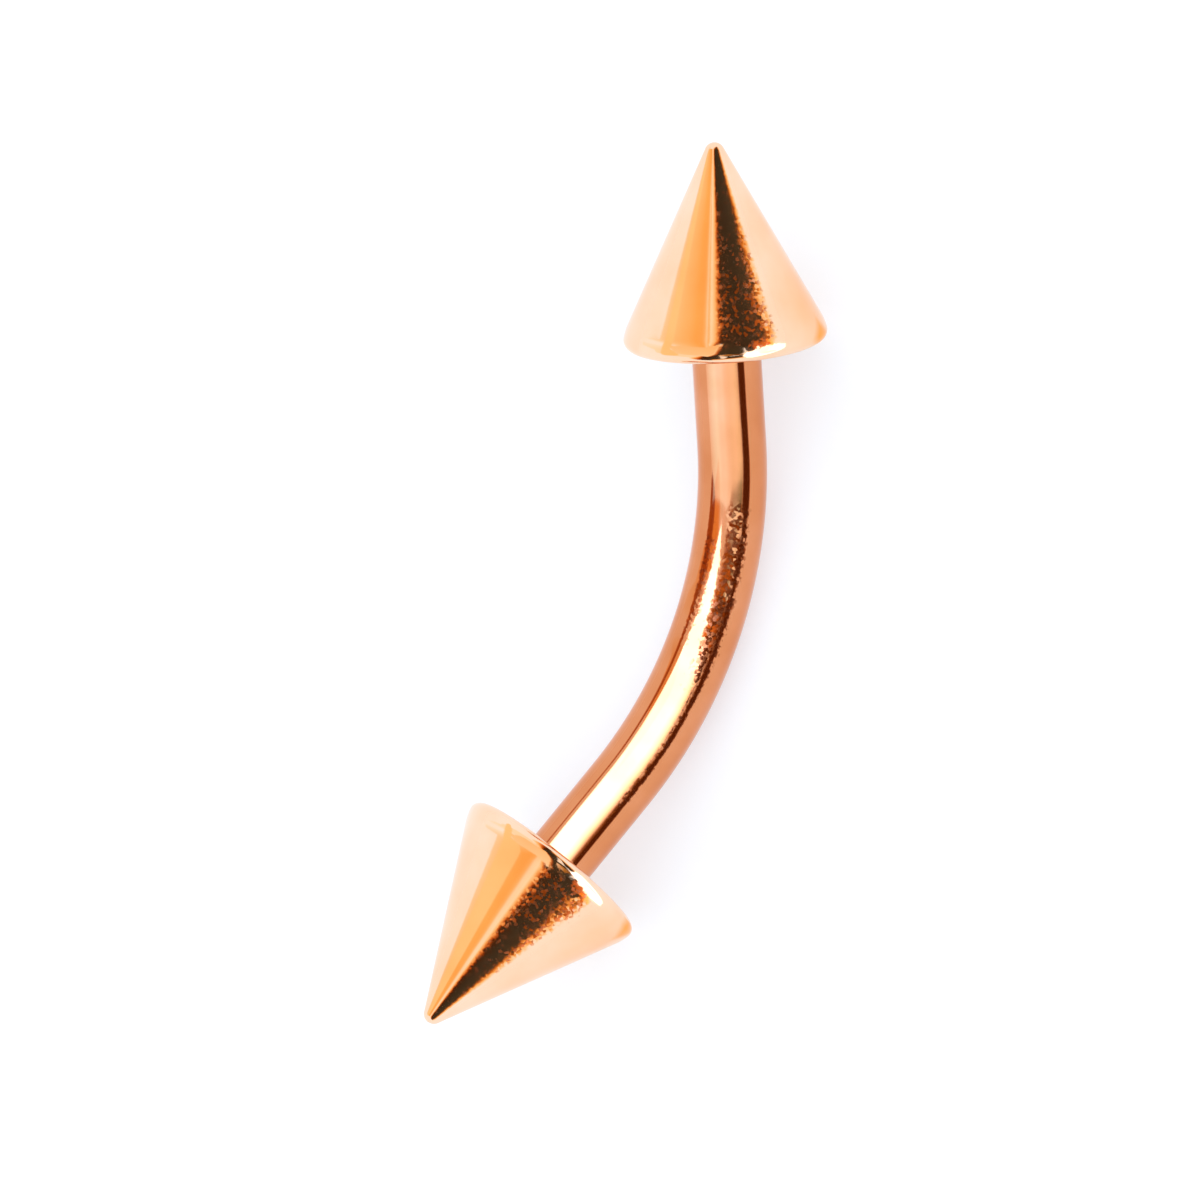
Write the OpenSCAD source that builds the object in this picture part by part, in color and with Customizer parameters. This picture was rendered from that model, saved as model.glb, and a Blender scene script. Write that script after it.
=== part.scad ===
// Curved eyebrow barbell: a bent round bar with a screw-on cone at each end.
// Millimetres. It lies as it comes to rest by itself, leaning back on both
// cone rims and the belly of the bend, with the cones' points up. The bar
// runs along X, and the origin is on the ground below the middle.

/* [Bar] */
// Diameter of the bar, 18 gauge
bar_d = 1.02; // [0.9:0.01:1.3]
// Straight-line distance between the two cones
wear_length = 8; // [6:0.1:12]
// Length of the straight stretch at each end of the bend
straight_l = 1.5; // [0.5:0.1:2]
// Angle that the bend turns through in all
bend_angle = 47.5; // [30:0.5:60]
// How much the straight ends are turned down below the bend's radius
turned_down = 0.004; // [0.002:0.001:0.01]
// Bevel on the bar's shoulders, where the cones bear
shoulder_bevel = 0.03; // [0.01:0.01:0.05]

/* [Threaded ends] */
// Depth of the step from the bar's surface down to the thread's crest
thread_step = 0.08; // [0.06:0.01:0.12]
// Length of the thread past the shoulder
thread_l = 1.3; // [0.8:0.1:1.5]
// Lead-in bevel at the thread's free end
thread_bevel = 0.1; // [0.04:0.01:0.2]
// Running gap all round between the thread and the cone's bore
thread_gap = 0.04; // [0.02:0.01:0.06]

/* [Cones] */
// Diameter across the rounded rim
cone_d = 3; // [2.6:0.1:4]
// Height from the flat base to the rounded point
cone_h = 3; // [2.8:0.1:5]
// Radius of the rounded point
tip_r = 0.15; // [0.08:0.01:0.3]
// Radius of the rounded rim
rim_r = 0.13; // [0.06:0.01:0.2]
// Gap between the shoulder and the cone's base when screwed home
seat_gap = 0.02; // [0.01:0.01:0.05]
// Room left in the bore past the thread's end
bore_spare = 0.15; // [0.05:0.01:0.25]
// Point angle of the drill that made the bore
drill_angle = 118; // [90:1:140]
// Countersink at the bore's mouth
mouth_bevel = 0.02; // [0.01:0.01:0.03]

/* [Hidden] */
$fn = 96;
bar_r = bar_d / 2;
end_r = bar_r - turned_down;
end_lap = 0.05; // how far a straight end runs on inside the bend
thread_r = bar_r - thread_step;
bore_r = thread_r + thread_gap;
bore_depth = thread_l + bore_spare - seat_gap;
cut_over = 0.05; // how far a cutting shape runs past the face it opens

// The bend, with its chord along X and its belly down
half_bend = bend_angle / 2;
bend_r = (wear_length / 2 - straight_l * cos(half_bend)) / sin(half_bend);
sag = bend_r * (1 - cos(half_bend)) + straight_l * sin(half_bend);

// The cone's outline: a rim circle and a tip circle with one line tangent to both
rim_centre = [cone_d / 2 - rim_r, rim_r];
tip_centre = [0, cone_h - tip_r];
flank = tip_centre - rim_centre;
flank_normal = atan2(flank.y, flank.x) - acos((rim_r - tip_r) / norm(flank));
outward = [cos(flank_normal), sin(flank_normal)];
flank_low = rim_centre + rim_r * outward;
flank_high = tip_centre + tip_r * outward;

// How far the barbell reaches in a direction across its chord. The direction
// is given by its share towards the belly, and along is the cone axis's share of it.
function belly_reach(share) = sag * share + bar_r;
function rim_reach(along) = (seat_gap + rim_r) * along
    + rim_centre.x * sqrt(1 - along * along) + rim_r;
function tip_reach(along) = (seat_gap + tip_centre.y) * along + tip_r;
function cone_reach(share) = max(rim_reach(-sin(half_bend) * share),
    tip_reach(-sin(half_bend) * share));
function reach(share) = max(belly_reach(share), cone_reach(share));

// It leans back until the belly and both rims reach the ground together
function settled(low, high, steps = 40) =
    let (mid = (low + high) / 2)
    steps == 0 ? mid
    : belly_reach(cos(mid)) > cone_reach(cos(mid)) ? settled(mid, high, steps - 1)
    : settled(low, mid, steps - 1);
lean = settled(0, 90);
rest_y = (reach(sin(lean)) - reach(-sin(lean))) / 2;
rest_z = reach(cos(lean));

module at_rest() {
    translate([0, rest_y, rest_z]) rotate([-lean, 0, 0]) children();
}

// Places what is drawn along +Z onto the shoulder at one end, side 1 or -1
module on_end(side) {
    translate([side * wear_length / 2, 0, 0])
        rotate([0, side * (90 - half_bend), 0]) children();
}

// Straight end of the bar, with its shoulder at the origin and its thread above
module straight_end() {
    rotate_extrude() polygon([
        [0, -straight_l - end_lap],
        [end_r, -straight_l - end_lap],
        [end_r, -shoulder_bevel],
        [end_r - shoulder_bevel, 0],
        [thread_r, 0],
        [thread_r, thread_l - thread_bevel],
        [thread_r - thread_bevel, thread_l],
        [0, thread_l]
    ]);
}

module bend() {
    translate([0, 0, bend_r - sag]) rotate([90, 0, 0])
        rotate_extrude(start = 270 - half_bend, angle = bend_angle)
            translate([bend_r, 0]) circle(bar_r);
}

module curved_bar() {
    color("#E6A98A") at_rest() {
        bend();
        for (side = [1, -1]) on_end(side) straight_end();
    }
}

module cone_outline() {
    polygon([[0, 0], [rim_centre.x, 0], flank_low, flank_high, tip_centre]);
    translate(rim_centre) circle(rim_r);
    intersection() {
        translate(tip_centre) circle(tip_r);
        translate([0, tip_centre.y - tip_r]) square(2 * tip_r);
    }
}

module bore_outline() {
    polygon([
        [0, -cut_over],
        [bore_r + mouth_bevel + cut_over, -cut_over],
        [bore_r, mouth_bevel],
        [bore_r, bore_depth],
        [0, bore_depth + bore_r / tan(drill_angle / 2)]
    ]);
}

module cone() {
    translate([0, 0, seat_gap]) rotate_extrude() difference() {
        cone_outline();
        bore_outline();
    }
}

module upper_cone() {
    color("#EDB795") at_rest() on_end(1) cone();
}

module lower_cone() {
    color("#EDB795") at_rest() on_end(-1) cone();
}

curved_bar();
upper_cone();
lower_cone();
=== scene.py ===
import math

import bmesh
import bpy
from mathutils import Matrix, Vector


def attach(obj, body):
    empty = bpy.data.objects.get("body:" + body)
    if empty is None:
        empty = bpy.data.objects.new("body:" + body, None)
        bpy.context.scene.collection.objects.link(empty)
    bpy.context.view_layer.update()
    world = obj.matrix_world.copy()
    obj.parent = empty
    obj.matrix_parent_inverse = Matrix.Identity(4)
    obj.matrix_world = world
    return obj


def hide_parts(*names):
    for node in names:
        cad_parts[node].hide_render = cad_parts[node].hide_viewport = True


# Curved eyebrow barbell: bent round bar, a screw-on cone at each end, rose gold over steel.
# Sizes below are in millimetres and go to metres when a mesh is made. Angles are in degrees.
mm = 0.001
scene = bpy.context.scene


def linearColour(hexText):
    # sRGB hex to the linear colour that the shader sockets take
    parts = [int(hexText[i : i + 2], 16) / 255 for i in (1, 3, 5)]
    return [c / 12.92 if c <= 0.04045 else ((c + 0.055) / 1.055) ** 2.4 for c in parts] + [1.0]


def addNode(tree, kind, settings=None, links=None):
    # settings: socket or property -> value, links: input socket -> output socket
    node = tree.nodes.new(kind)
    for name, value in (settings or {}).items():
        if isinstance(name, int) or name in node.inputs:
            node.inputs[name].default_value = value
        else:
            setattr(node, name, value)
    for name, source in (links or {}).items():
        tree.links.new(source, node.inputs[name])
    return node


# Camera: a long lens from above the front, turned so that the bar stands up in the frame
cameraSetup = {
    "lens": 400,
    "clip": (0.001, 10),  # metres
    "distance": 195.3,
    "azimuth": 7.98,
    "elevation": 67.85,
    "roll": -79.35,
    "lookAt": (-0.134, 0.507, 1.616),
}


def directionFrom(azimuth, elevation):
    # unit vector from the object, azimuth 0 is the front (-Y) and 90 is +X
    a, e = math.radians(azimuth), math.radians(elevation)
    return Vector((math.sin(a) * math.cos(e), -math.cos(a) * math.cos(e), math.sin(e)))


def makeCamera(setup):
    data = bpy.data.cameras.new("camera")
    data.lens = setup["lens"]
    data.clip_start, data.clip_end = setup["clip"]
    camera = bpy.data.objects.new("camera", data)
    scene.collection.objects.link(camera)
    back = directionFrom(setup["azimuth"], setup["elevation"])
    turn = (-back).to_track_quat("-Z", "Y").to_matrix().to_4x4()
    turn = turn @ Matrix.Rotation(math.radians(setup["roll"]), 4, "Z")
    place = (Vector(setup["lookAt"]) + back * setup["distance"]) * mm
    camera.matrix_world = Matrix.Translation(place) @ turn
    scene.camera = camera


makeCamera(cameraSetup)
print("camera placed")

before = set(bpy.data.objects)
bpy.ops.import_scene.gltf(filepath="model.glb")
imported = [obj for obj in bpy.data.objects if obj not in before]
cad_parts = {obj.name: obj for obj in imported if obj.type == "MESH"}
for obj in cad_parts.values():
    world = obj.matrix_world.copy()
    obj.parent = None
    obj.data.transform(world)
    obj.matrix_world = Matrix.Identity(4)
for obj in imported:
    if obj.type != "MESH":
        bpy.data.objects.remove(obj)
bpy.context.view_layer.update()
print("frame loaded")


def ringOf(place, z, radius, segments):
    # radius is a number, or a function of the angle as a share of a turn
    ring = []
    for i in range(segments):
        turn = i / segments
        r = radius(turn) if callable(radius) else radius
        angle = 2 * math.pi * turn
        ring.append(place @ Vector((r * math.cos(angle), r * math.sin(angle), z)))
    return ring


def betweenStops(stops, place):
    # value at a place from (place, value) stops, level past the first and the last
    if place <= stops[0][0]:
        return stops[0][1]
    for (a, low), (b, high) in zip(stops, stops[1:]):
        if place <= b:
            return low + (high - low) * (place - a) / (b - a)
    return stops[-1][1]


def patchRows(patches, word, places, segments):
    # for each point of each ring, the strongest of the patches there
    rows = [[0.0] * segments for place in places]
    for patch in patches:
        for row, place in zip(rows, places):
            strength = betweenStops(patch["strength"], place)
            reach = betweenStops(patch["half"], place) + patch["edge"]
            for i in range(segments):
                away = abs((i / segments - patch["turn"][word] + 0.5) % 1 - 0.5)
                share = min(max((reach - away) / patch["edge"], 0), 1)
                row[i] = max(row[i], strength * share)
    return rows


def closedSkin(name, rings, firstPoint, lastPoint, marks, sharpAngle=28):
    # one watertight skin through the rings, closed to a point at each end;
    # marks: name -> a number for each point of each ring, kept on the mesh for the material
    bm = bmesh.new()
    layers = {mark: bm.verts.layers.float.new(mark) for mark in marks}
    rows = [[bm.verts.new(p * mm) for p in ring] for ring in rings]
    ends = [bm.verts.new(firstPoint * mm), bm.verts.new(lastPoint * mm)]
    for mark, values in marks.items():
        for row, numbers in zip(rows, values):
            for vert, number in zip(row, numbers):
                vert[layers[mark]] = number
    count = len(rows[0])
    for i in range(count):
        j = (i + 1) % count
        bm.faces.new((ends[0], rows[0][j], rows[0][i]))
        for a, b in zip(rows, rows[1:]):
            bm.faces.new((a[i], a[j], b[j], b[i]))
        bm.faces.new((rows[-1][i], rows[-1][j], ends[1]))
    bmesh.ops.recalc_face_normals(bm, faces=bm.faces)
    for face in bm.faces:
        face.smooth = True
    for edge in bm.edges:
        edge.smooth = edge.calc_face_angle(0) < math.radians(sharpAngle)
    mesh = bpy.data.meshes.new(name)
    bm.to_mesh(mesh)
    bm.free()
    piece = bpy.data.objects.new(name, mesh)
    scene.collection.objects.link(piece)
    return piece


# Bar: studs, shoulders, straight ends and the bend in one skin
barSetup = {
    "diameter": 1.02,
    "wearLength": 8.0,
    "straight": 1.5,
    "bendAngle": 47.5,
    "shoulderBevel": 0.03,
    "segments": 144,
    "ringStep": 0.08,
    "bevelRings": 3,
    # strength and half width by the place along the bar; half, edge and turn are in turns
    "worn": [
        {
            "strength": [(-1.2, 0.0), (-0.3, 0.8), (0.4, 1.0), (1.6, 1.0), (1.95, 0.0)],
            "turn": {"bar": 0.786},
            "half": [(0.0, 0.035)],
            "edge": 0.035,
        },
        {
            "strength": [(-0.6, 0.0), (0.0, 0.6), (1.2, 0.6), (1.7, 0.0)],
            "turn": {"bar": 0.906},
            "half": [(0.0, 0.018)],
            "edge": 0.02,
        },
        {
            "strength": [(-3.4, 0.0), (-2.9, 0.4), (-1.2, 0.4), (-0.8, 0.0)],
            "turn": {"bar": 0.764},
            "half": [(0.0, 0.012)],
            "edge": 0.02,
        },
    ],
}

# How the barbell lies: chord along X, leaning back on both rims and the belly
restSetup = {"lean": 40.5755, "shift": (0, -0.03929, 1.38844)}
restPlace = Matrix.Translation(restSetup["shift"]) @ Matrix.Rotation(
    -math.radians(restSetup["lean"]), 4, "X"
)
halfBend = math.radians(barSetup["bendAngle"]) / 2
bendRadius = (barSetup["wearLength"] / 2 - barSetup["straight"] * math.cos(halfBend)) / math.sin(halfBend)
sag = bendRadius * (1 - math.cos(halfBend)) + barSetup["straight"] * math.sin(halfBend)


def endPlace(side):
    # shoulder at the origin and the outward direction along +Z, side 1 or -1
    return (
        restPlace
        @ Matrix.Translation((side * barSetup["wearLength"] / 2, 0, 0))
        @ Matrix.Rotation(side * (math.pi / 2 - halfBend), 4, "Y")
    )


# The studs and their thread; the cones' bores take its pitch, flats and run-out
threadSetup = {
    "crestRadius": 0.43,
    "length": 1.3,
    "bevel": 0.1,
    "pitch": 0.225,
    "depth": 0.085,
    "flat": 0.2,  # of the pitch, on the crest and at the root
    "runOut": 0.12,
    "stepsPerTurn": 20,
    "endRings": (0.1, 0.2, 0.3),  # radii on the stud's flat end
    "endLip": (0.01, 0.008),  # down and out, the broken edge of the flat end
    "shoulderLand": 0.015,
}


def groove(height, turn):
    # 0 on the crest of a right-hand thread, 1 at its root, with flats on both
    flat = threadSetup["flat"]
    x = (height / threadSetup["pitch"] - turn) % 1.0
    rise = min(x, 1 - x) * 2
    return min(max((rise - flat) / (1 - 2 * flat), 0), 1)


def fade(height, low, high, width):
    # 1 between low and high, running out to 0 over the width at each end
    edge = min((height - low) / width, (high - height) / width)
    return min(max(edge, 0), 1)


def studProfile():
    # (height over the shoulder, radius) from the free end down to the bar's full radius
    t = threadSetup
    radius, bevel = barSetup["diameter"] / 2, barSetup["shoulderBevel"]
    steps = round((t["length"] - t["bevel"]) / t["pitch"] * t["stepsPerTurn"])
    top = t["length"] - t["bevel"]

    def threadRadius(height):
        share = fade(height, 0.0, t["length"], t["runOut"])
        return lambda turn: t["crestRadius"] - t["depth"] * share * groove(height, turn)

    down, out = t["endLip"]
    rows = [(t["length"], r) for r in t["endRings"]]
    rows.append((t["length"], t["crestRadius"] - t["bevel"]))
    rows.append((t["length"] - down, t["crestRadius"] - t["bevel"] + out))
    rows += [(top * (1 - k / steps), threadRadius(top * (1 - k / steps))) for k in range(steps)]
    rows += [(0.0, r) for r in (t["crestRadius"], t["crestRadius"] + t["shoulderLand"], radius - bevel)]
    for k in range(1, barSetup["bevelRings"] + 1):
        angle = math.pi / 2 * k / barSetup["bevelRings"]
        rows.append((-bevel * (1 - math.cos(angle)), radius - bevel + bevel * math.sin(angle)))
    return rows


def makeBar():
    segments = barSetup["segments"]
    radius = barSetup["diameter"] / 2
    near, far = endPlace(-1), endPlace(1)
    profile = studProfile()
    rings = [ringOf(near, z, r, segments) for z, r in profile]
    endLength = bendRadius * halfBend + barSetup["straight"]
    along = [-endLength - z for z, r in profile]
    steps = round(barSetup["straight"] / barSetup["ringStep"])
    low = -barSetup["shoulderBevel"]
    straightZ = [low + (-barSetup["straight"] - low) * k / steps for k in range(1, steps + 1)]
    rings += [ringOf(near, z, radius, segments) for z in straightZ]
    along += [-endLength - z for z in straightZ]
    steps = round(bendRadius * 2 * halfBend / barSetup["ringStep"])
    for k in range(1, steps):
        # the near end's turned frame, carried round the bend
        angle = -halfBend + 2 * halfBend * k / steps
        centre = Vector((bendRadius * math.sin(angle), 0, bendRadius - sag - bendRadius * math.cos(angle)))
        place = restPlace @ Matrix.Translation(centre) @ Matrix.Rotation(-math.pi / 2 - angle, 4, "Y")
        rings.append(ringOf(place, 0, radius, segments))
        along.append(bendRadius * angle)
    # the far end is met from inside, so its rings run the other way round
    flip = Matrix.Rotation(math.pi, 4, "Y")
    for z, r in [(z, radius) for z in reversed(straightZ)] + list(reversed(profile)):
        mirrored = (lambda turn, r=r: r((0.5 - turn) % 1)) if callable(r) else r
        rings.append(ringOf(far @ flip, -z, mirrored, segments))
        along.append(endLength + z)
    tip = Vector((0, 0, threadSetup["length"]))
    wear = patchRows(barSetup["worn"], "bar", along, segments)
    return closedSkin("curved_bar_skin", rings, near @ tip, far @ tip, {"wear": wear})


bar = makeBar()
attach(bar, "bar")
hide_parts("curved_bar")
print("bar made:", len(bar.data.polygons), "faces")

# Cones: rounded point, straight flank, rounded rim, flat base with a threaded bore
coneSetup = {
    "diameter": 3.0,
    "height": 3.0,
    "tipRadius": 0.15,
    "rimRadius": 0.13,
    "brimRadius": 0.9,
    "brimAngle": 14,
    "brimInset": 0.002,
    "seatGap": 0.02,
    "boreRadius": 0.47,
    "boreDepth": 1.43,
    "drillAngle": 118,
    "mouthBevel": 0.02,
    "threadDepth": 0.07,
    "threadEnd": 0.1,  # from the last thread to the bottom of the straight bore
    "segments": 192,
    "rings": {"drill": 6, "base": 12, "rim": 20, "brim": 16, "flank": 40, "tip": 12},
    # strength and half width by the height over the base; half, edge and turn are in turns
    "worn": [
        {
            "strength": [(0.12, 0.0), (0.4, 1.0), (1.0, 0.85), (1.5, 0.6), (2.2, 0.35), (3.0, 0.2)],
            "turn": {"upper": 0.72, "lower": 0.787},
            "half": [(0.0, 0.036)],
            "edge": 0.02,
        },
    ],
    # painted orange reflection: on one side of each cone the colour turns orange, strongly along the rim
    # and faintly up the lower flank
    "paintedReflectionPatches": [
        {
            "strength": [(0.0, 1.0)],
            "turn": {"upper": 0.88, "lower": 0.625},
            "half": [(0.02, -0.05), (0.06, 0.015), (0.15, 0.015), (0.35, -0.01), (0.75, -0.05)],
            "edge": 0.03,
        },
        {
            "strength": [(0.02, 0.0), (0.1, 0.25), (0.6, 0.38), (1.0, 0.28), (1.6, 0.1), (3.0, 0.0)],
            "turn": {"upper": 0.905, "lower": 0.594},
            "half": [(0.0, 0.03)],
            "edge": 0.11,
        },
    ],
}


def coneProfile():
    # (height over the base, radius) from the drilled bore's bottom out round to the point,
    # how many of these rows are inside or on the flat base, and the height of the bottom
    c = coneSetup
    rings = c["rings"]
    drill = c["boreRadius"] / math.tan(math.radians(c["drillAngle"] / 2))
    boreTop, boreLow = c["boreDepth"], c["mouthBevel"]
    steps = round((boreTop - boreLow) / threadSetup["pitch"] * threadSetup["stepsPerTurn"])

    def threadRadius(height):
        share = fade(height, 0.0, boreTop - c["threadEnd"], threadSetup["runOut"])
        return lambda turn: c["boreRadius"] + c["threadDepth"] * share * groove(height, turn)

    rows = []
    for k in range(1, rings["drill"]):
        share = k / rings["drill"]
        rows.append((boreTop + drill * (1 - share), c["boreRadius"] * share))
    for k in range(steps + 1):
        height = boreTop + (boreLow - boreTop) * k / steps
        rows.append((height, threadRadius(height)))
    mouth = c["boreRadius"] + c["mouthBevel"]
    rows.append((0.0, mouth))

    # polishing rounds the rim in two arcs, a tight one below and a slow one up to the flank
    rimCentre = Vector((c["diameter"] / 2 - c["rimRadius"] - c["brimInset"], c["rimRadius"]))
    brim = math.radians(c["brimAngle"])
    inward = c["rimRadius"] - c["brimRadius"]
    brimCentre = rimCentre + inward * Vector((math.cos(brim), math.sin(brim)))
    tipCentre = Vector((0, c["height"] - c["tipRadius"]))
    flank = tipCentre - brimCentre
    tilt = math.atan2(flank.y, flank.x) - math.acos((c["brimRadius"] - c["tipRadius"]) / flank.length)
    for k in range(1, rings["base"] + 1):
        rows.append((0.0, mouth + (rimCentre.x - mouth) * k / rings["base"]))
    inside = len(rows)
    arcs = (
        (rimCentre, c["rimRadius"], -math.pi / 2, brim, rings["rim"]),
        (brimCentre, c["brimRadius"], brim, tilt, rings["brim"]),
    )
    for centre, radius, first, last, count in arcs:
        for k in range(1, count + 1):
            angle = first + (last - first) * k / count
            rows.append((centre.y + radius * math.sin(angle), centre.x + radius * math.cos(angle)))
    flankLow = brimCentre + c["brimRadius"] * Vector((math.cos(tilt), math.sin(tilt)))
    flankHigh = tipCentre + c["tipRadius"] * Vector((math.cos(tilt), math.sin(tilt)))
    for k in range(1, rings["flank"] + 1):
        point = flankLow.lerp(flankHigh, k / rings["flank"])
        rows.append((point.y, point.x))
    for k in range(1, rings["tip"]):
        angle = tilt + (math.pi / 2 - tilt) * k / rings["tip"]
        point = tipCentre + c["tipRadius"] * Vector((math.cos(angle), math.sin(angle)))
        rows.append((point.y, point.x))
    return rows, inside, boreTop + drill


def makeCone(name, side, word):
    place = endPlace(side) @ Matrix.Translation((0, 0, coneSetup["seatGap"]))
    rows, inside, bottom = coneProfile()
    rings = [ringOf(place, z, r, coneSetup["segments"]) for z, r in rows]
    first = place @ Vector((0, 0, bottom))
    last = place @ Vector((0, 0, coneSetup["height"]))
    # the bore and the flat base are neither worn nor given the painted orange reflection
    heights = [-1] * inside + [z for z, r in rows[inside:]]
    marks = {
        "wear": patchRows(coneSetup["worn"], word, heights, coneSetup["segments"]),
        "paintedOrangeReflection": patchRows(coneSetup["paintedReflectionPatches"], word, heights, coneSetup["segments"]),
    }
    return closedSkin(name, rings, first, last, marks)


cones = {}
for side, word in ((1, "upper"), (-1, "lower")):
    cone = makeCone(f"{word}_cone_skin", side, word)
    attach(cone, f"{word}_cone_body")
    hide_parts(f"{word}_cone")
    cones[word] = cone
    print(word, "cone made:", len(cone.data.polygons), "faces")

# Surgical steel, mirror polished, then coated rose gold in a vacuum chamber: a clean copper
# mirror that shows its surroundings almost undimmed. The coating follows every mark of the
# steel under it, so fine facets show where the bar was bent and where the cones were held near
# their base. The mirrored edges break up there, into specks of bright and dark copper
metalSetup = {
    "bar": {
        "name": "rose_gold_coated_steel_polished_then_bent",
        "base": "#DB8C5D",
        "deep": "#D68555",
        "pale": "#E09367",
        "speck": "#8A3408",
        "roughness": 0.08,
        "wornRoughness": 0.0,
        "speckRoughness": 0.24,
        "speckLimits": (1.0, 0.2),
        "speckBlur": 0.5,
        "facetTilt": 0.11,
    },
    "cone": {
        "name": "rose_gold_coated_steel_turned_then_polished",
        "base": "#FBD2B0",
        "deep": "#F9CCA7",
        "pale": "#FDD7B9",
        "speck": "#CA6A2A",
        # colour of the painted orange reflection on one side of the cones
        "paintedOrangeReflection": "#FFA02C",
        "roughness": 0.08,
        "wornRoughness": 0.04,
        "speckRoughness": 0.35,
        "speckLimits": (1.0, 0.55),
        "speckBlur": 0.28,
        "facetTilt": 0.12,
    },
    "shades": [(0.3, "deep"), (0.5, "base"), (0.7, "pale")],
    # sizes of the patterns in millimetres
    "cloudSize": 0.9,
    "cloudDetail": 3.0,
    "facetSize": 0.045,  # real ones are finer; drawn as coarse as they need to show
    "rippleSize": 0.3,
    "rippleDetail": 1.0,
    "rippleHeight": 0.0006,
}


def perMetre(sizeInMm):
    # noise scale that gives features of that size
    return 1 / (sizeInMm * mm)


def roseGold(look):
    material = bpy.data.materials.new(look["name"])
    material.use_nodes = True
    tree = material.node_tree
    shader = tree.nodes["Principled BSDF"]
    shader.inputs["Metallic"].default_value = 1.0
    place = {"Vector": addNode(tree, "ShaderNodeTexCoord").outputs["Object"]}
    wear = addNode(tree, "ShaderNodeAttribute", {"attribute_name": "wear"}).outputs["Fac"]

    # slow drift of the tint over the coating
    cloud = addNode(
        tree,
        "ShaderNodeTexNoise",
        {"Scale": perMetre(metalSetup["cloudSize"]), "Detail": metalSetup["cloudDetail"]},
        place,
    )
    tone = addNode(tree, "ShaderNodeValToRGB", links={"Fac": cloud.outputs["Fac"]})
    tone.color_ramp.elements.new(0.5)
    for element, (share, word) in zip(tone.color_ramp.elements, metalSetup["shades"]):
        element.position = share
        element.color = linearColour(look[word])
    coat = tone.outputs["Color"]
    if "paintedOrangeReflection" in look:
        # painted orange reflection: the colour turns orange on one side of the cone, most of all on the
        # rim
        paintedOrangeReflection = addNode(tree, "ShaderNodeAttribute", {"attribute_name": "paintedOrangeReflection"}).outputs["Fac"]
        paintedReflectionMix = addNode(
            tree,
            "ShaderNodeMix",
            {"data_type": "RGBA", 7: linearColour(look["paintedOrangeReflection"])},
            {0: paintedOrangeReflection, 6: coat},
        )
        coat = paintedReflectionMix.outputs[2]

    # small facets where the metal is worn, some of them darker copper and duller
    facet = addNode(tree, "ShaderNodeTexVoronoi", {"Scale": perMetre(metalSetup["facetSize"])}, place)
    chance = addNode(tree, "ShaderNodeSeparateColor", links={"Color": facet.outputs["Color"]})
    fewest, most = look["speckLimits"]
    limit = addNode(tree, "ShaderNodeMapRange", {"To Min": fewest, "To Max": most}, {"Value": wear})
    over = addNode(
        tree,
        "ShaderNodeMath",
        {"operation": "SUBTRACT"},
        {0: chance.outputs["Red"], 1: limit.outputs["Result"]},
    )
    spots = addNode(
        tree,
        "ShaderNodeMapRange",
        {"From Max": look["speckBlur"]},
        {"Value": over.outputs[0]},
    )
    tint = addNode(
        tree,
        "ShaderNodeMix",
        {"data_type": "RGBA", 7: linearColour(look["speck"])},
        {0: spots.outputs["Result"], 6: coat},
    )
    tree.links.new(tint.outputs[2], shader.inputs["Base Color"])
    dull = addNode(
        tree,
        "ShaderNodeMath",
        {"operation": "MULTIPLY_ADD", 1: look["wornRoughness"], 2: look["roughness"]},
        {0: wear},
    )
    rough = addNode(
        tree,
        "ShaderNodeMapRange",
        {"To Max": look["speckRoughness"]},
        {"Value": spots.outputs["Result"], "To Min": dull.outputs[0]},
    )
    tree.links.new(rough.outputs["Result"], shader.inputs["Roughness"])

    # ripple of the buffing wheel, and over it each facet leans its own way by its random colour
    ripple = addNode(
        tree,
        "ShaderNodeTexNoise",
        {"Scale": perMetre(metalSetup["rippleSize"]), "Detail": metalSetup["rippleDetail"]},
        place,
    )
    soft = addNode(
        tree,
        "ShaderNodeBump",
        {"Distance": metalSetup["rippleHeight"] * mm},
        {"Height": ripple.outputs["Fac"]},
    )
    slant = addNode(
        tree,
        "ShaderNodeVectorMath",
        {"operation": "SUBTRACT", 1: (0.5, 0.5, 0.5)},
        {0: facet.outputs["Color"]},
    )
    tilt = addNode(tree, "ShaderNodeMath", {"operation": "MULTIPLY", 1: look["facetTilt"]}, {0: wear})
    aside = addNode(
        tree,
        "ShaderNodeVectorMath",
        {"operation": "SCALE"},
        {0: slant.outputs["Vector"], "Scale": tilt.outputs[0]},
    )
    leaned = addNode(
        tree,
        "ShaderNodeVectorMath",
        {"operation": "ADD"},
        {0: soft.outputs["Normal"], 1: aside.outputs["Vector"]},
    )
    whole = addNode(
        tree,
        "ShaderNodeVectorMath",
        {"operation": "NORMALIZE"},
        {0: leaned.outputs["Vector"]},
    )
    tree.links.new(whole.outputs["Vector"], shader.inputs["Normal"])
    return material


bar.data.materials.append(roseGold(metalSetup["bar"]))
coneFinish = roseGold(metalSetup["cone"])
for cone in cones.values():
    cone.data.materials.append(coneFinish)
print("rose gold made")

# Stage: white table, lit from below so that the shadow stays light, inside a white tent.
# The metal mirrors dark flags and tinted cards that stand round it, and glowing sheets that
# only some of its pieces see
stageSetup = {
    "table": "#C8C8C8",
    "tableGlow": 0.5,
    "tableRoughness": 0.9,
    "tableSize": 3.0,  # metres
    "tableCells": 4,
    "tent": 1.22,
    "tentTint": "#F2F8FF",
    "columnSteps": 8,
    "rowSteps": 12,
    "maskGap": 0.01,  # metres
}


def stageThing(name, bm, material):
    mesh = bpy.data.meshes.new(name)
    bm.to_mesh(mesh)
    bm.free()
    mesh.materials.append(material)
    thing = bpy.data.objects.new(name, mesh)
    scene.collection.objects.link(thing)
    return thing


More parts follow.
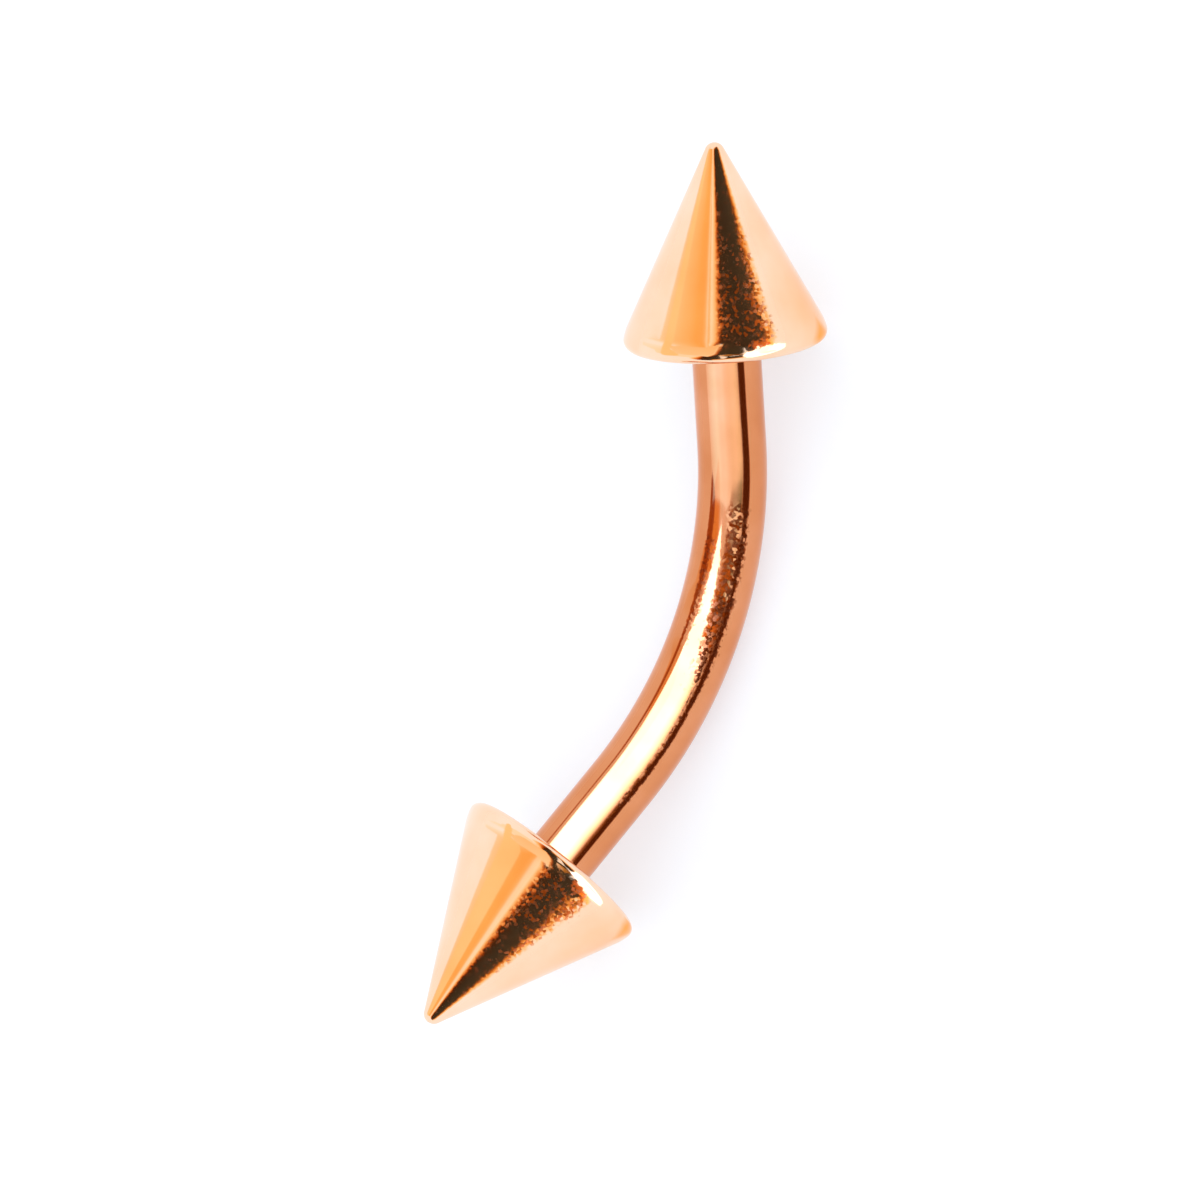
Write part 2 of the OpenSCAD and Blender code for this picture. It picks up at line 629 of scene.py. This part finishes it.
def makeFloor():
    bm = bmesh.new()
    cells = stageSetup["tableCells"]
    bmesh.ops.create_grid(bm, x_segments=cells, y_segments=cells, size=stageSetup["tableSize"] / 2)
    material = bpy.data.materials.new("white_acrylic_matt")
    material.use_nodes = True
    shader = material.node_tree.nodes["Principled BSDF"]
    shader.inputs["Base Color"].default_value = linearColour(stageSetup["table"])
    shader.inputs["Roughness"].default_value = stageSetup["tableRoughness"]
    shader.inputs["Emission Color"].default_value = linearColour(stageSetup["tentTint"])
    shader.inputs["Emission Strength"].default_value = stageSetup["tableGlow"]
    stageThing("floor", bm, material)


# For cards that only the cones mirror: the bar sees the bare tent in their place
bareTent = (["bar"], stageSetup["tentTint"], stageSetup["tent"])
# Both flags, pale at the low edge, then orange, then dark
flagGlow = [
    (0.0, "#FFF6E6", 1.1),
    (0.08, "#FFE2A8", 1.06),
    (0.17, "#FFAE4B", 1.0),
    (0.24, "#FF8C30", 0.5),
    (0.32, "#FFDCA8", 0.068),
    (0.6, "#FFE4B8", 0.05),
    (1.0, "#FFC890", 0.045),
]

# Each card is on a ball round the barbell, distance in metres. "sky" gives its edge as
# (azimuth, low and high elevation) in degrees. "overhead" gives it as (x, near y, far y) where a
# level plane one unit up is crossed. "glow" is (share, hex, strength) from low to high or near to
# far, and with "turned" along the azimuth or x. Cards with "only" are see-through and add their
# glow for those pieces. "maskedFor" gives the pieces that don't see the card, and the glow that
# they see instead
cardSetup = {
    "right_flag": {
        "distance": 1.0,
        "sky": [
            (14, 22, 40),
            (24, 18, 46),
            (34, 13, 50),
            (44, 10, 56),
            (50, 10, 60),
            (58, 10, 64),
            (72, 10, 68),
        ],
        "glow": flagGlow,
        "maskedFor": bareTent,
    },
    "right_flag_end": {
        "distance": 1.0,
        "sky": [(72, 10, 68), (80, 14, 74), (90, 30, 76), (104, 50, 76)],
        "turned": True,
        "glow": [
            (0.0, "#FFC890", 0.05),
            (0.16, "#FF9040", 0.06),
            (0.29, "#FF7410", 0.6),
            (0.41, "#FFAA59", 0.95),
            (0.55, "#FFD18B", 1.07),
            (0.8, "#FFF3D2", 1.07),
            (1.0, "#FFFFEA", 1.06),
        ],
        "maskedFor": bareTent,
    },
    "left_flag": {
        "distance": 1.0,
        "sky": [
            (-74, 12, 66),
            (-66, 12, 62),
            (-58, 12, 60),
            (-50, 12, 56),
            (-40, 14, 50),
            (-30, 18, 46),
            (-18, 24, 42),
        ],
        "glow": flagGlow,
        "maskedFor": bareTent,
    },
    "left_flag_end": {
        "distance": 1.0,
        "sky": [(-106, 46, 72), (-97, 38, 72), (-87, 24, 71), (-74, 12, 66)],
        "turned": True,
        "glow": [
            (0.0, "#FFFFEA", 1.06),
            (0.14, "#FFF3D2", 1.07),
            (0.28, "#FFD18B", 1.07),
            (0.43, "#FFAA59", 0.95),
            (0.55, "#FF7410", 0.6),
            (0.69, "#FF9040", 0.06),
            (1.0, "#FFC890", 0.05),
        ],
        "maskedFor": bareTent,
    },
    "overhead_band": {
        "distance": 1.08,
        "overhead": [
            (-0.9, -0.34, -0.18),
            (-0.75, -0.52, -0.15),
            (-0.5, -0.7, -0.14),
            (-0.25, -0.82, -0.13),
            (0.0, -0.85, -0.13),
            (0.25, -0.82, -0.13),
            (0.45, -0.72, -0.14),
            (0.56, -0.66, -0.24),
        ],
        "glow": [
            (0.0, "#FFB868", 0.7),
            (0.06, "#FFB868", 0.3),
            (0.12, "#FFE1B2", 0.055),
            (0.88, "#FFDCA8", 0.055),
            (0.94, "#FF7410", 0.6),
            (0.98, "#FFD18B", 1.07),
            (1.0, "#FFFFEA", 1.1),
        ],
        "maskedFor": bareTent,
    },
    "zenith_card": {
        "distance": 1.1,
        "overhead": [
            (-0.75, -0.16, 0.4),
            (-0.5, -0.16, 0.75),
            (-0.2, -0.16, 0.95),
            (0.2, -0.16, 1.0),
            (0.42, -0.1, 0.6),
        ],
        "turned": True,
        "glow": [(0.0, "#FFF6E8", 1.18), (0.45, "#FFE4BC", 1.12), (1.0, "#FFCE8C", 1.08)],
        "maskedFor": bareTent,
    },
    "right_back_card": {
        "distance": 1.06,
        "sky": [
            (111, 60, 79),
            (119, 58, 79),
            (133, 54, 78),
            (146, 48, 76),
            (162, 40, 70),
            (171, 31, 60),
            (175, 27, 55),
            (177, 15, 52),
            (179, 5, 50),
        ],
        "turned": True,
        "glow": [
            (0.0, "#FFF6E0", 1.06),
            (0.12, "#FFCB86", 1.08),
            (0.24, "#FFC270", 1.05),
            (0.45, "#FFC572", 1.05),
            (0.75, "#FFD292", 1.08),
            (0.88, "#FFDCA8", 1.08),
            (0.95, "#FFEED0", 1.06),
            (1.0, "#FDFFFA", 1.1),
        ],
        "maskedFor": (["lower"], "#FFF2DC", 1.14),
    },
    "left_back_card": {
        "distance": 1.06,
        "sky": [
            (-176, 4, 46),
            (-173, 5, 48),
            (-171, 16, 50),
            (-169, 25, 50),
            (-163, 28, 56),
            (-155, 34, 64),
            (-141, 42, 70),
            (-128, 48, 73),
            (-114, 52, 74),
        ],
        "turned": True,
        "glow": [
            (0.0, "#FDFFFA", 1.1),
            (0.1, "#FFEED0", 1.06),
            (0.21, "#FFDCA8", 1.08),
            (0.34, "#FFD292", 1.08),
            (0.58, "#FFC572", 1.05),
            (0.76, "#FFC270", 1.05),
            (0.9, "#FFCB86", 1.08),
            (1.0, "#FFF6E0", 1.06),
        ],
        "maskedFor": (["upper"], "#FFF2DC", 1.14),
    },
    "back_strip": {
        "distance": 1.03,
        "overhead": [
            (-0.95, 1.1, 1.3),
            (-0.62, 0.64, 1.4),
            (-0.4, 0.58, 1.42),
            (-0.22, 0.62, 1.42),
            (-0.12, 0.95, 1.42),
            (0.15, 0.98, 1.42),
            (0.5, 1.06, 1.42),
            (1.1, 1.2, 1.42),
        ],
        "glow": [
            (0.0, "#FFB070", 0.7),
            (0.2, "#FF9040", 0.42),
            (0.8, "#FFA050", 0.5),
            (1.0, "#FFC090", 0.9),
        ],
        "maskedFor": (["upper", "lower"], "#FFE2A8", 1.08),
    },
    "front_strip": {
        "distance": 1.02,
        "sky": [
            (-14, 9, 20),
            (-9.5, 9, 21),
            (-8.7, 9, 21),
            (-8.4, 9, 28),
            (-8, 9, 31),
            (-5.5, 9, 31),
            (-4.2, 8, 29),
            (-3.5, 4.5, 28),
            (-3, 3, 27.5),
            (-2, 2.5, 26.5),
            (-1.4, 4, 26),
            (1, 4, 28),
            (3, 8, 31),
            (14, 9, 32),
        ],
        "glow": [
            (0.0, "#FFC8A0", 0.6),
            (0.15, "#FF9C54", 0.12),
            (0.82, "#FF9C54", 0.12),
            (1.0, "#FFC078", 0.6),
        ],
    },
    "brown_card": {
        "distance": 1.05,
        "overhead": [
            (-0.37, -0.52, -0.42),
            (-0.34, -0.8, -0.38),
            (-0.32, -1.15, -0.36),
            (-0.295, -1.75, -0.36),
            (-0.2, -1.75, -0.3),
            (-0.12, -1.75, -0.32),
            (-0.07, -1.75, -0.36),
            (-0.03, -1.7, -0.45),
            (-0.01, -1.7, -1.3),
        ],
        "glow": [
            (0.0, "#FFA870", 0.1),
            (0.2, "#FFA870", 0.12),
            (0.5, "#FFB068", 0.18),
            (0.72, "#FFAC58", 0.26),
            (0.88, "#FFB050", 0.5),
            (1.0, "#FFE0C0", 1.0),
        ],
    },
    "bar_highlight": {
        "distance": 0.96,
        "overhead": [
            (-0.35, 0.02, 0.12),
            (-0.29, -0.03, 0.21),
            (-0.2, -0.17, 0.34),
            (-0.1, -0.23, 0.46),
            (-0.06, -0.27, 0.52),
            (-0.04, -0.36, 0.54),
            (-0.025, -0.95, 0.555),
            (-0.01, -1.4, 0.56),
            (0.05, -1.45, 0.6),
            (0.15, -1.45, 0.64),
            (0.28, -1.45, 0.72),
            (0.4, -1.5, 0.77),
            (0.56, -1.5, 0.78),
            (0.77, -1.5, 0.745),
            (1.3, -1.5, 0.72),
        ],
        "glow": [
            (0.0, "#E0FFF0", 0.3),
            (0.08, "#E8F8FF", 1.4),
            (0.17, "#D8ECFF", 2.6),
            (0.3, "#B8D4FF", 5.0),
            (0.44, "#A8CCFF", 7.5),
            (0.9, "#A8CCFF", 7.5),
            (1.0, "#A8D8FF", 4.0),
        ],
        "only": ["bar"],
    },
    "bar_wash": {
        "distance": 0.97,
        "overhead": [
            (-1.7, 0.5, 1.3),
            (-1.2, -0.1, 1.3),
            (-1.0, -0.6, 1.25),
            (-0.85, -1.1, 1.0),
            (-0.69, -1.8, 0.95),
            (-0.63, -1.8, 0.7),
            (-0.53, -1.8, 0.4),
            (-0.46, -1.8, 0.15),
            (-0.4, -1.8, -0.06),
            (-0.36, -1.8, -0.28),
            (-0.335, -1.8, -0.5),
            (-0.305, -1.8, -0.78),
            (-0.28, -1.8, -1.15),
            (-0.255, -1.8, -1.75),
        ],
        "glow": [
            (0.0, "#C4FFFF", 0.4),
            (0.14, "#C4FFFF", 0.63),
            (0.277, "#B6EBFF", 0.8),
            (0.377, "#AEE7FF", 0.73),
            (0.458, "#9ED6FF", 1.0),
            (0.53, "#89CAFF", 1.6),
            (0.603, "#83C6FF", 1.7),
            (0.687, "#6DC8FF", 2.1),
            (0.797, "#72C7FF", 1.6),
            (0.9, "#80C8FF", 1.1),
            (1.0, "#93C8FF", 0.6),
        ],
        "only": ["bar"],
    },
    "upper_rim_glint": {
        "distance": 0.95,
        "sky": [
            (-42, 1, 12),
            (-34, 1, 27),
            (-24, 1, 36),
            (-10, 1, 43),
            (4, 1, 46),
            (16, 1, 46),
            (26, 1, 38),
            (32, 1, 24),
        ],
        "glow": [(0.0, "#FFFFFF", 1.5), (1.0, "#FFFFFF", 2.4)],
        "only": ["upper"],
    },
    "lower_rim_glint": {
        "distance": 0.95,
        "sky": [
            (-38, 1, 26),
            (-30, 1, 40),
            (-20, 1, 48),
            (-8, 1, 50),
            (8, 1, 47),
            (20, 1, 40),
            (30, 1, 30),
            (42, 1, 14),
        ],
        "glow": [(0.0, "#FFFFFF", 1.5), (1.0, "#FFFFFF", 2.4)],
        "only": ["lower"],
    },
    "upper_rim_spot": {
        "distance": 0.95,
        "sky": [(-60, 26, 36), (-50, 38, 54), (-40, 48, 64)],
        "glow": [(0.0, "#FFFFFF", 1.0), (1.0, "#FFFFFF", 1.0)],
        "only": ["upper"],
    },
    "lower_rim_spot": {
        "distance": 0.95,
        "sky": [(24, 52, 66), (40, 42, 56), (58, 26, 36)],
        "glow": [(0.0, "#FFFFFF", 1.0), (1.0, "#FFFFFF", 1.0)],
        "only": ["lower"],
    },
    "upper_rim_blush": {
        "distance": 0.94,
        "sky": [(26, 18, 42), (34, 16, 42), (42, 14, 36)],
        "glow": [(0.0, "#FF8A28", 0.9), (1.0, "#FF7A18", 0.5)],
        "only": ["upper"],
    },
    "lower_rim_blush": {
        "distance": 0.94,
        "sky": [(-49, 14, 34), (-41, 16, 42), (-32, 18, 43)],
        "glow": [(0.0, "#FF8A28", 0.9), (1.0, "#FF7A18", 0.5)],
        "only": ["lower"],
    },
}
pieces = {"bar": bar, **cones}


def cardGrid(card):
    # directions and texture places of the card's corners, column by column
    stops = card.get("sky") or card["overhead"]
    steps, rows = stageSetup["columnSteps"], stageSetup["rowSteps"]
    columns = []
    for first, second in zip(stops, stops[1:]):
        columns += [[a + (b - a) * k / steps for a, b in zip(first, second)] for k in range(steps)]
    columns.append(stops[-1])
    start, end = stops[0][0], stops[-1][0]
    low, high = min(stop[1] for stop in stops), max(stop[2] for stop in stops)
    grid = []
    for place, near, far in columns:
        line = []
        for r in range(rows + 1):
            value = near + (far - near) * r / rows
            if "sky" in card:
                direction = directionFrom(place, value)
                share = r / rows
            else:
                direction = Vector((place, value, 1)).normalized()
                share = (value - low) / (high - low)
            line.append((direction, ((place - start) / (end - start), share)))
        grid.append(line)
    return grid


def radiance(colour, strength):
    return [c * strength for c in linearColour(colour)[:3]]


def glowMaterial(name, stops, turned, seeThrough):
    # stops: (share, linear colour with its strength in it)
    peak = max(max(level) for share, level in stops)
    material = bpy.data.materials.new(name)
    material.use_nodes = True
    material.cycles.emission_sampling = "NONE"
    tree = material.node_tree
    tree.nodes.clear()
    where = addNode(tree, "ShaderNodeUVMap", {"uv_map": "card"})
    split = addNode(tree, "ShaderNodeSeparateXYZ", links={"Vector": where.outputs["UV"]})
    tone = addNode(tree, "ShaderNodeValToRGB", links={"Fac": split.outputs["X" if turned else "Y"]})
    elements = tone.color_ramp.elements
    while len(elements) < len(stops):
        elements.new(0.5)
    for element, (share, level) in zip(elements, stops):
        element.position = share
        element.color = [c / peak for c in level] + [1.0]
    colour = {"Color": tone.outputs["Color"]}
    surface = addNode(tree, "ShaderNodeEmission", {"Strength": peak}, colour)
    if seeThrough:
        clear = addNode(tree, "ShaderNodeBsdfTransparent")
        both = {0: surface.outputs[0], 1: clear.outputs[0]}
        surface = addNode(tree, "ShaderNodeAddShader", links=both)
    addNode(tree, "ShaderNodeOutputMaterial", links={"Surface": surface.outputs[0]})
    return material


def makeCard(name, card, distance, stops, seers=None):
    # hidden from the camera and matt surfaces, and without a shadow; with seers it is a
    # see-through sheet for those pieces
    bm = bmesh.new()
    places = bm.loops.layers.uv.new("card")
    grid = cardGrid(card)
    verts = [[bm.verts.new(direction * distance) for direction, place in line] for line in grid]
    for i in range(len(grid) - 1):
        for r in range(len(grid[0]) - 1):
            corners = ((i, r), (i + 1, r), (i + 1, r + 1), (i, r + 1))
            face = bm.faces.new([verts[a][b] for a, b in corners])
            for loop, (a, b) in zip(face.loops, corners):
                loop[places].uv = grid[a][b][1]
    thing = stageThing(name, bm, glowMaterial(name, stops, card.get("turned"), seers))
    thing.visible_camera = False
    thing.visible_diffuse = False
    thing.visible_shadow = False
    if seers:
        chosen = bpy.data.collections.new(name)
        for word in seers:
            chosen.objects.link(pieces[word])
        thing.light_linking.receiver_collection = chosen


makeFloor()
for name, card in cardSetup.items():
    stops = [(share, radiance(colour, strength)) for share, colour, strength in card["glow"]]
    makeCard(name, card, card["distance"], stops, card.get("only"))
    if "maskedFor" in card:
        # a sheet just in front adds what is missing to the wanted glow
        seers, colour, strength = card["maskedFor"]
        wanted = radiance(colour, strength)
        missing = []
        for share, level in stops:
            missing.append((share, [max(w - c, 0) for w, c in zip(wanted, level)]))
        makeCard(f"{name}_mask", card, card["distance"] - stageSetup["maskGap"], missing, seers)
world = bpy.data.worlds.new("tent")
scene.world = world
world.use_nodes = True
world.node_tree.nodes["Background"].inputs["Color"].default_value = linearColour(stageSetup["tentTint"])
world.node_tree.nodes["Background"].inputs["Strength"].default_value = stageSetup["tent"]
scene.view_settings.view_transform = "Standard"
print("stage set")
